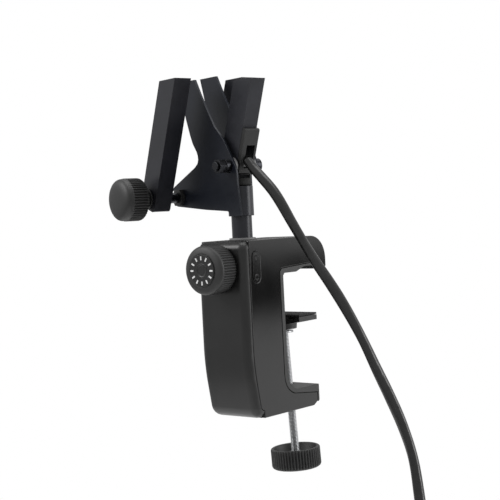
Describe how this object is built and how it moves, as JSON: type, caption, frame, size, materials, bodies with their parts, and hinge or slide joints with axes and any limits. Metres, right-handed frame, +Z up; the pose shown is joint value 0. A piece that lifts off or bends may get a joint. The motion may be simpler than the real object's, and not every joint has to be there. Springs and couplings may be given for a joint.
{
  "type": "desk microphone boom arm base",
  "caption": "Table-edge screw clamp carrying a swivelling mast, a sheet-metal bracket and the lower ends of a parallel two-bar boom arm, with a trailing signal cable.",
  "frame": {"origin": "middle of the upper jaw's flat gripping land, which rests on the tabletop", "axes": "+Z up along the mast, -Y towards the clamp's front cover, +Y into the table, +X towards the side the cable hangs on"},
  "size_m": [0.2313, 0.1182, 0.4975],
  "materials": {
    "cast_frame": "black powder coat over cast metal",
    "cover_plastic": "fine moulded satin black",
    "grip_plastic": "matt black, lightly textured",
    "painted_steel": "satin black powder coat with a slight blue cast",
    "painted_tube": "satin black powder coat",
    "soft_rubber": "matt black",
    "zinc_steel": "bright zinc plate",
    "black_zinc": "black zinc plate, lightly glossy",
    "bright_steel": "bright nickel plate",
    "bush_nylon": "natural nylon",
    "brass": "plain brass",
    "cord_jacket": "smooth black cable jacket with a soft sheen"
  },
  "bodies": {
    "clamp": {"clamp_core": "cast_frame", "front_cover": "cover_plastic", "side_cover_right": "cover_plastic", "side_cover_left": "cover_plastic", "side_badge": "cover_plastic", "throat_liner": "grip_plastic", "screw_insert": "brass", "mast_bush_upper": "bush_nylon", "mast_bush_lower": "bush_nylon", "cover_screw_1": "zinc_steel", "cover_screw_2": "zinc_steel", "lock_thrust_pad": "brass"},
    "lock_knob": {"lock_knob": "grip_plastic", "lock_knob_disc": "cover_plastic", "lock_stud": "zinc_steel"},
    "carriage": {"swivel_ball": "bright_steel"},
    "screw": {"clamp_screw": "zinc_steel", "hand_knob": "grip_plastic"},
    "pad_hub": {"socket_ring": "bright_steel"},
    "pressure_pad": {"pressure_pad": "cover_plastic", "pad_facing": "soft_rubber"},
    "bracket": {"mast_tube": "painted_steel", "mast_sleeve": "painted_steel", "mast_plug": "soft_rubber", "plate_near": "painted_steel", "plate_far": "painted_steel", "inner_axle": "black_zinc", "inner_axle_collar": "cover_plastic", "inner_axle_nut": "black_zinc", "inner_axle_head": "black_zinc", "inner_washer_near": "bush_nylon", "inner_washer_far": "bush_nylon", "outer_axle": "black_zinc", "outer_spacer_near": "black_zinc", "outer_spacer_far": "black_zinc", "outer_collar_near": "cover_plastic", "outer_collar_far": "cover_plastic", "outer_inner_spacer": "black_zinc", "outer_end_nut": "black_zinc", "cable": "cord_jacket", "cable_coil": "cord_jacket", "coil_tie": "soft_rubber", "connector_boot": "soft_rubber", "connector_shell": "bright_steel", "connector_insert": "cover_plastic"},
    "inner_bar": {"inner_bar": "painted_tube", "inner_bush": "bush_nylon", "cable_outlet": "cover_plastic", "inner_bar_plug": "cover_plastic"},
    "outer_bars": {"outer_bar_near": "painted_tube", "outer_bush_near": "bush_nylon", "outer_plug_near": "cover_plastic", "balance_spring_near": "bright_steel", "outer_bar_far": "painted_tube", "outer_bush_far": "bush_nylon", "outer_plug_far": "cover_plastic", "balance_spring_far": "bright_steel"},
    "tension_knob": {"tension_knob": "grip_plastic", "tension_washer": "cover_plastic"}
  },
  "joints": [
    {"name": "lock_turn", "type": "hinge", "parent": "clamp", "child": "lock_knob", "pos_m": [0, -0.0503, 0.0059], "axis": [0, -1, 0], "range_deg": [0, 360]},
    {"name": "screw_travel", "type": "slide", "parent": "clamp", "child": "carriage", "axis": [-0.0332, -0.0331, 0.9989], "range_m": [-0.036, 0.029]},
    {"name": "screw_turn", "type": "hinge", "parent": "carriage", "child": "screw", "pos_m": [0, 0.0202, -0.0887], "axis": [-0.0332, -0.0331, 0.9989], "range_deg": [-12970, 10450]},
    {"name": "pad_tilt_side", "type": "hinge", "parent": "carriage", "child": "pad_hub", "pos_m": [-0.00171, 0.01849, -0.03716], "axis": [1, 0, 0], "range_deg": [-6, 6]},
    {"name": "pad_tilt_front", "type": "hinge", "parent": "pad_hub", "child": "pressure_pad", "pos_m": [-0.00171, 0.01849, -0.03716], "axis": [0, 1, 0], "range_deg": [-6, 6]},
    {"name": "mast_swivel", "type": "hinge", "parent": "clamp", "child": "bracket", "pos_m": [0, -0.0247, 0.0243], "axis": [0, 0, 1], "range_deg": [-150, 50]},
    {"name": "outer_bars_tilt", "type": "hinge", "parent": "bracket", "child": "outer_bars", "pos_m": [-0.05618, -0.01069, 0.056], "axis": [0.2419, 0.9703, 0], "range_deg": [-40, 35]},
    {"name": "inner_bar_tilt", "type": "hinge", "parent": "bracket", "child": "inner_bar", "pos_m": [0.00243, -0.02531, 0.0753], "axis": [0.2419, 0.9703, 0], "range_deg": [-40, 35]},
    {"name": "tension_turn", "type": "hinge", "parent": "bracket", "child": "tension_knob", "pos_m": [-0.05618, -0.01069, 0.056], "axis": [-0.2419, -0.9703, 0], "range_deg": [0, 360]}
  ],
  "couplings": [
    {"joint": "screw_turn", "follows": "screw_travel", "rad_per_m": 6283.2},
    {"joint": "inner_bar_tilt", "follows": "outer_bars_tilt", "ratio": 1}
  ]
}
